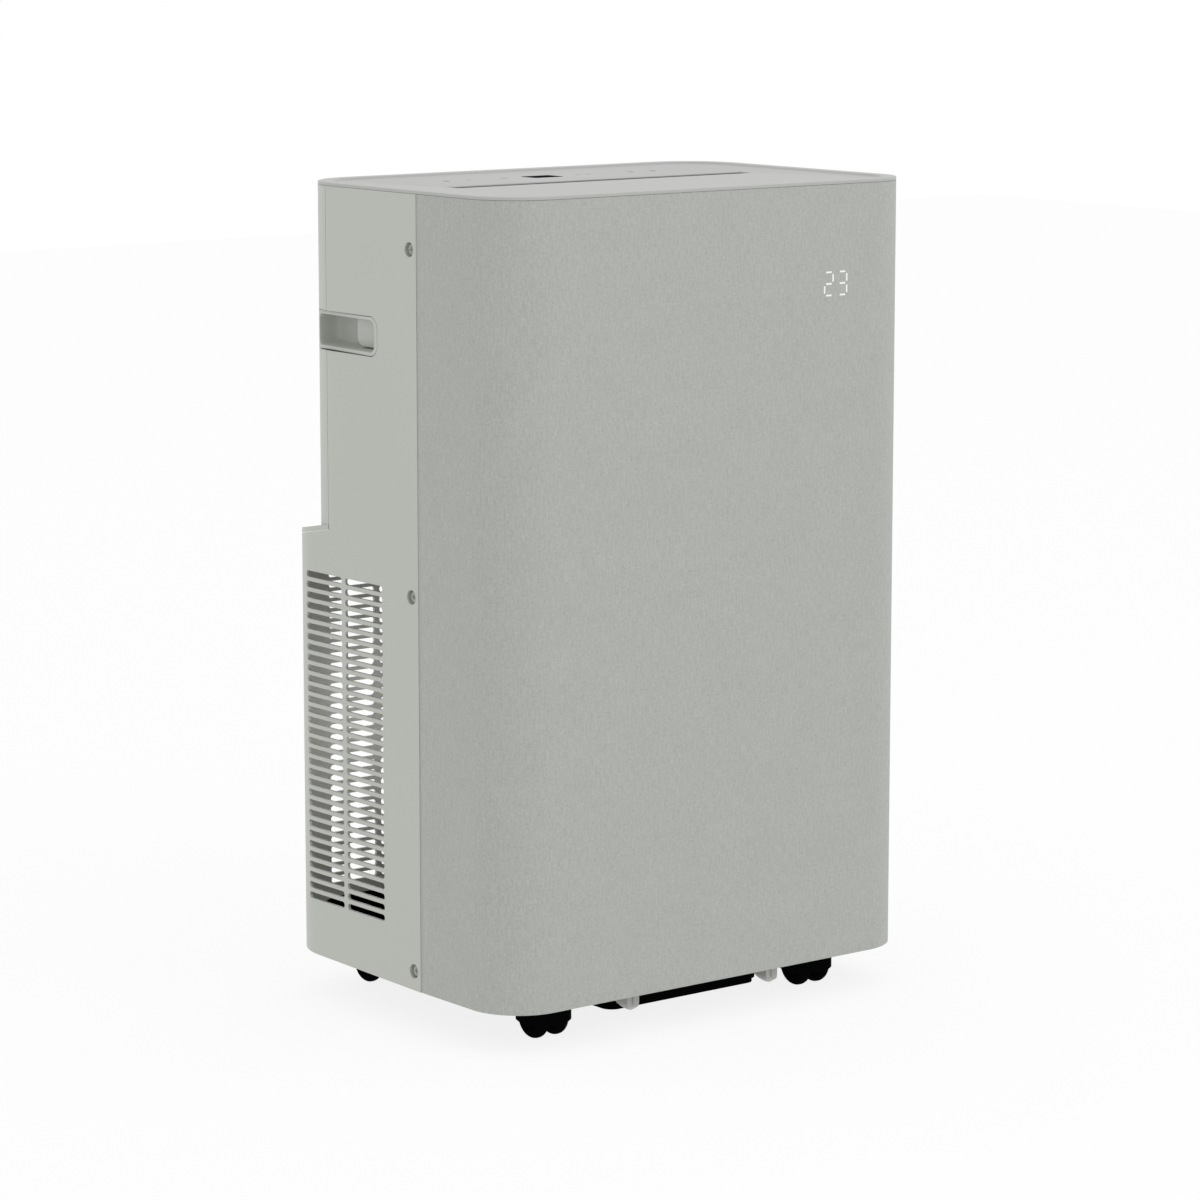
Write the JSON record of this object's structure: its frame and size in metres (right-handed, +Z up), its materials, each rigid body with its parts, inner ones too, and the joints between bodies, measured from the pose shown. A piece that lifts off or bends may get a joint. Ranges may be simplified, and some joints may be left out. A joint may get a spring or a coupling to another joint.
{
  "type": "dehumidifier",
  "caption": "Room dehumidifier with a fabric front, louvred rear housing, top air outlet with flap, rear filter door, side grips and swivel castors.",
  "frame": {"origin": "on the floor, under the middle of the cabinet's box", "axes": "+Z up, -Y out of the fabric front, +X to the right when facing the front"},
  "size_m": [0.439, 0.326, 0.7],
  "materials": {
    "housing_plastic": "fine satin moulded ABS",
    "front_plastic": "moulded ABS, light grey",
    "front_fabric": "fine melange weave, stretched and bonded",
    "top_plastic": "satin moulded ABS",
    "window_black": "gloss black display window",
    "icon_ink": "pad-printed grey ink",
    "circuit_board": "solder-resist green",
    "flap_plastic": "dark olive grey moulding",
    "motor_steel": "zinc plated",
    "handle_plastic": "satin moulded ABS",
    "screw_steel": "zinc plated",
    "display_light": "white light guide",
    "filter_grey": "open mesh in a frame",
    "black_plastic": "black polypropylene",
    "dark_plastic": "dark grey polypropylene",
    "black_rubber": "soft rubber",
    "fin_aluminium": "thin bare sheet",
    "copper": "bare copper tube",
    "sheet_steel": "galvanised sheet",
    "black_steel": "black enamel",
    "float_plastic": "natural polypropylene",
    "capacitor_white": "plastic can",
    "shaft_steel": "ground steel",
    "bearing_bronze": "sintered bronze",
    "wheel_nylon": "black nylon"
  },
  "bodies": {
    "cabinet": {"base_pan": "black_plastic", "rear_housing": "housing_plastic", "upper_back_cover": "housing_plastic", "front_shell": "front_plastic", "front_fabric": "front_fabric", "top_plate": "top_plastic", "control_window": "window_black", "touch_icons": "icon_ink", "control_board": "circuit_board", "flap_motor": "motor_steel", "handle_cup_left": "handle_plastic", "handle_cup_right": "handle_plastic", "side_screws": "screw_steel", "display_digits": "display_light", "display_board": "circuit_board", "drain_spigot": "black_plastic", "cord_gland": "black_rubber", "condenser_fins": "fin_aluminium", "condenser_tubes": "copper", "evaporator_fins": "fin_aluminium", "evaporator_tubes": "copper", "coil_end_plates": "sheet_steel", "drip_tray": "black_plastic", "compressor": "black_steel", "compressor_feet": "black_rubber", "accumulator": "black_steel", "discharge_pipe": "copper", "suction_pipe": "copper", "filter_drier": "copper", "capillary_tube": "copper", "float_bracket": "float_plastic", "electrical_box": "sheet_steel", "box_lid": "sheet_steel", "power_board": "circuit_board", "run_capacitor": "capacitor_white", "deck_panel": "dark_plastic", "blower_housing": "dark_plastic", "fan_motor": "motor_steel", "fan_bearing": "bearing_bronze"},
    "flap": {"air_flap": "flap_plastic"},
    "fan": {"fan_wheel": "dark_plastic", "fan_shaft": "shaft_steel"},
    "filter": {"filter_door": "housing_plastic", "filter_mesh": "filter_grey"},
    "plug": {"drain_plug": "black_rubber"},
    "float_arm": {"float": "float_plastic"},
    "castor_front_left": {"castor_hood_front_left": "black_plastic"},
    "wheels_front_left": {"castor_axle_front_left": "shaft_steel", "castor_wheels_front_left": "wheel_nylon"},
    "castor_front_right": {"castor_hood_front_right": "black_plastic"},
    "wheels_front_right": {"castor_axle_front_right": "shaft_steel", "castor_wheels_front_right": "wheel_nylon"},
    "castor_rear_left": {"castor_hood_rear_left": "black_plastic"},
    "wheels_rear_left": {"castor_axle_rear_left": "shaft_steel", "castor_wheels_rear_left": "wheel_nylon"},
    "castor_rear_right": {"castor_hood_rear_right": "black_plastic"},
    "wheels_rear_right": {"castor_axle_rear_right": "shaft_steel", "castor_wheels_rear_right": "wheel_nylon"}
  },
  "joints": [
    {"name": "flap_turn", "type": "hinge", "parent": "cabinet", "child": "flap", "pos_m": [0, -0.008, 0.6902], "axis": [1, 0, 0], "range_deg": [0, 85]},
    {"name": "fan_spin", "type": "hinge", "parent": "cabinet", "child": "fan", "pos_m": [0, 0.035, 0.5], "axis": [1, 0, 0], "continuous": true},
    {"name": "filter_tilt", "type": "hinge", "parent": "cabinet", "child": "filter", "pos_m": [0, 0.1314, 0.4349], "axis": [-1, 0, 0], "range_deg": [0, 40]},
    {"name": "plug_pull", "type": "slide", "parent": "cabinet", "child": "plug", "axis": [0, 1, 0], "range_m": [0, 0.03]},
    {"name": "float_lift", "type": "hinge", "parent": "cabinet", "child": "float_arm", "pos_m": [0, -0.093, 0.03], "axis": [1, 0, 0], "range_deg": [0, 20]},
    {"name": "castor_front_left_swivel", "type": "hinge", "parent": "cabinet", "child": "castor_front_left", "pos_m": [-0.143, -0.1206, 0.042], "axis": [0, 0, 1], "continuous": true},
    {"name": "wheels_front_left_roll", "type": "hinge", "parent": "castor_front_left", "child": "wheels_front_left", "pos_m": [-0.143, -0.1106, 0.0175], "axis": [1, 0, 0], "continuous": true},
    {"name": "castor_front_right_swivel", "type": "hinge", "parent": "cabinet", "child": "castor_front_right", "pos_m": [0.143, -0.1206, 0.042], "axis": [0, 0, 1], "continuous": true},
    {"name": "wheels_front_right_roll", "type": "hinge", "parent": "castor_front_right", "child": "wheels_front_right", "pos_m": [0.143, -0.1106, 0.0175], "axis": [1, 0, 0], "continuous": true},
    {"name": "castor_rear_left_swivel", "type": "hinge", "parent": "cabinet", "child": "castor_rear_left", "pos_m": [-0.143, 0.117, 0.042], "axis": [0, 0, 1], "continuous": true},
    {"name": "wheels_rear_left_roll", "type": "hinge", "parent": "castor_rear_left", "child": "wheels_rear_left", "pos_m": [-0.143, 0.127, 0.0175], "axis": [1, 0, 0], "continuous": true},
    {"name": "castor_rear_right_swivel", "type": "hinge", "parent": "cabinet", "child": "castor_rear_right", "pos_m": [0.143, 0.117, 0.042], "axis": [0, 0, 1], "continuous": true},
    {"name": "wheels_rear_right_roll", "type": "hinge", "parent": "castor_rear_right", "child": "wheels_rear_right", "pos_m": [0.143, 0.127, 0.0175], "axis": [1, 0, 0], "continuous": true}
  ]
}
